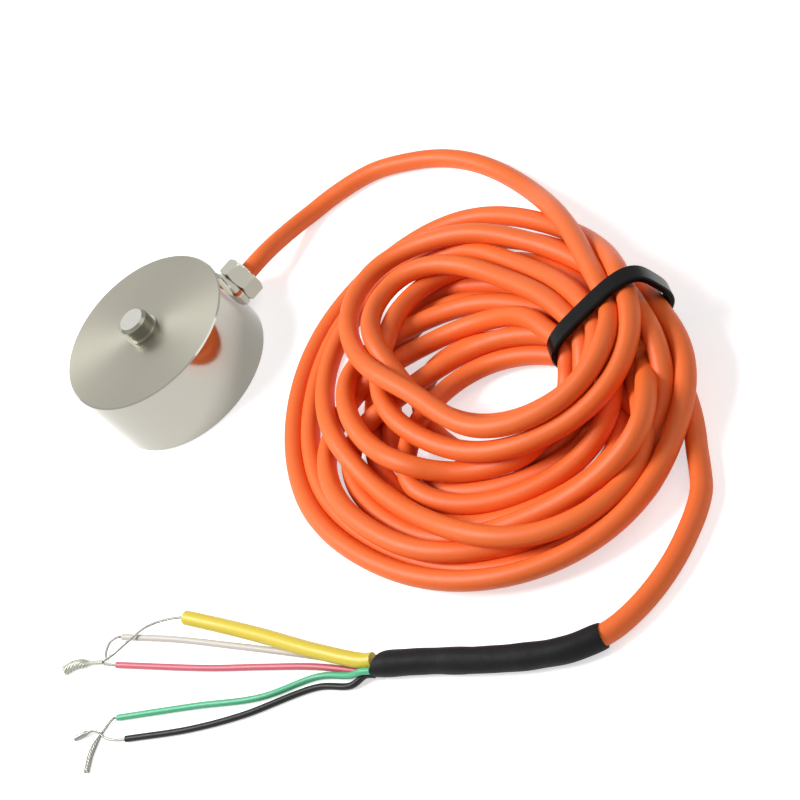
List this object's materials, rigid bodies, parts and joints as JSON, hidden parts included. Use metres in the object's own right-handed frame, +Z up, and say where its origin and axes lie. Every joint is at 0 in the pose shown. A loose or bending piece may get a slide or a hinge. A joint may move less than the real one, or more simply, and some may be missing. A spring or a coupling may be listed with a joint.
{
  "type": "miniature load cell",
  "caption": "Miniature compression load cell: a turned steel disc with a load button on top, a hexagon cable gland at its side and a coiled orange cable with stripped cores.",
  "frame": {"origin": "centre of the base face, which is also the centre of the circle of mounting screws", "axes": "+Z up along the load axis, through the load button; +X towards the cable gland, along which the cable leaves"},
  "size_m": [0.1409, 0.1533, 0.02],
  "materials": {
    "body_steel": "fine-turned satin stainless steel",
    "cover_steel": "ground sheet steel",
    "gland_steel": "bright turned stainless steel",
    "gauge_foil": "polyimide foil",
    "copper_wire": "enamelled copper",
    "board_laminate": "green laminate",
    "solder": "dull tin solder",
    "resistor_body": "ceramic chip",
    "red_insulation": "soft PVC",
    "white_insulation": "soft PVC",
    "green_insulation": "soft PVC",
    "black_insulation": "soft PVC",
    "cable_jacket": "satin extruded jacket",
    "seal_rubber": "moulded rubber",
    "washer_brass": "stamped brass",
    "tie_nylon": "moulded nylon",
    "shrink_black": "shrunk polyolefin",
    "yellow_pvc": "soft PVC tube",
    "tinned_copper": "tinned strands"
  },
  "bodies": {
    "root": {"housing": "body_steel", "base_cover": "cover_steel", "strain_gauge_1": "gauge_foil", "strain_gauge_2": "gauge_foil", "strain_gauge_3": "gauge_foil", "strain_gauge_4": "gauge_foil", "gauge_wires": "copper_wire", "terminal_board": "board_laminate", "solder_joints": "solder", "trim_resistors": "resistor_body", "inner_red_core": "red_insulation", "inner_white_core": "white_insulation", "inner_green_core": "green_insulation", "inner_black_core": "black_insulation", "inner_cable_end": "cable_jacket", "gland_body": "gland_steel", "gland_seal": "seal_rubber", "gland_washer": "washer_brass", "gland_nut": "gland_steel", "cable_lead": "cable_jacket", "cable_coil": "cable_jacket", "cable_tail": "cable_jacket", "cable_tie": "tie_nylon", "shrink_sleeve": "shrink_black", "yellow_sleeve": "yellow_pvc", "red_core": "red_insulation", "white_core": "white_insulation", "green_core": "green_insulation", "black_core": "black_insulation", "screen_wire": "tinned_copper", "red_strands": "tinned_copper", "white_strands": "tinned_copper", "green_strands": "tinned_copper", "black_strands": "tinned_copper", "soldered_twist": "solder"}
  },
  "joints": []
}
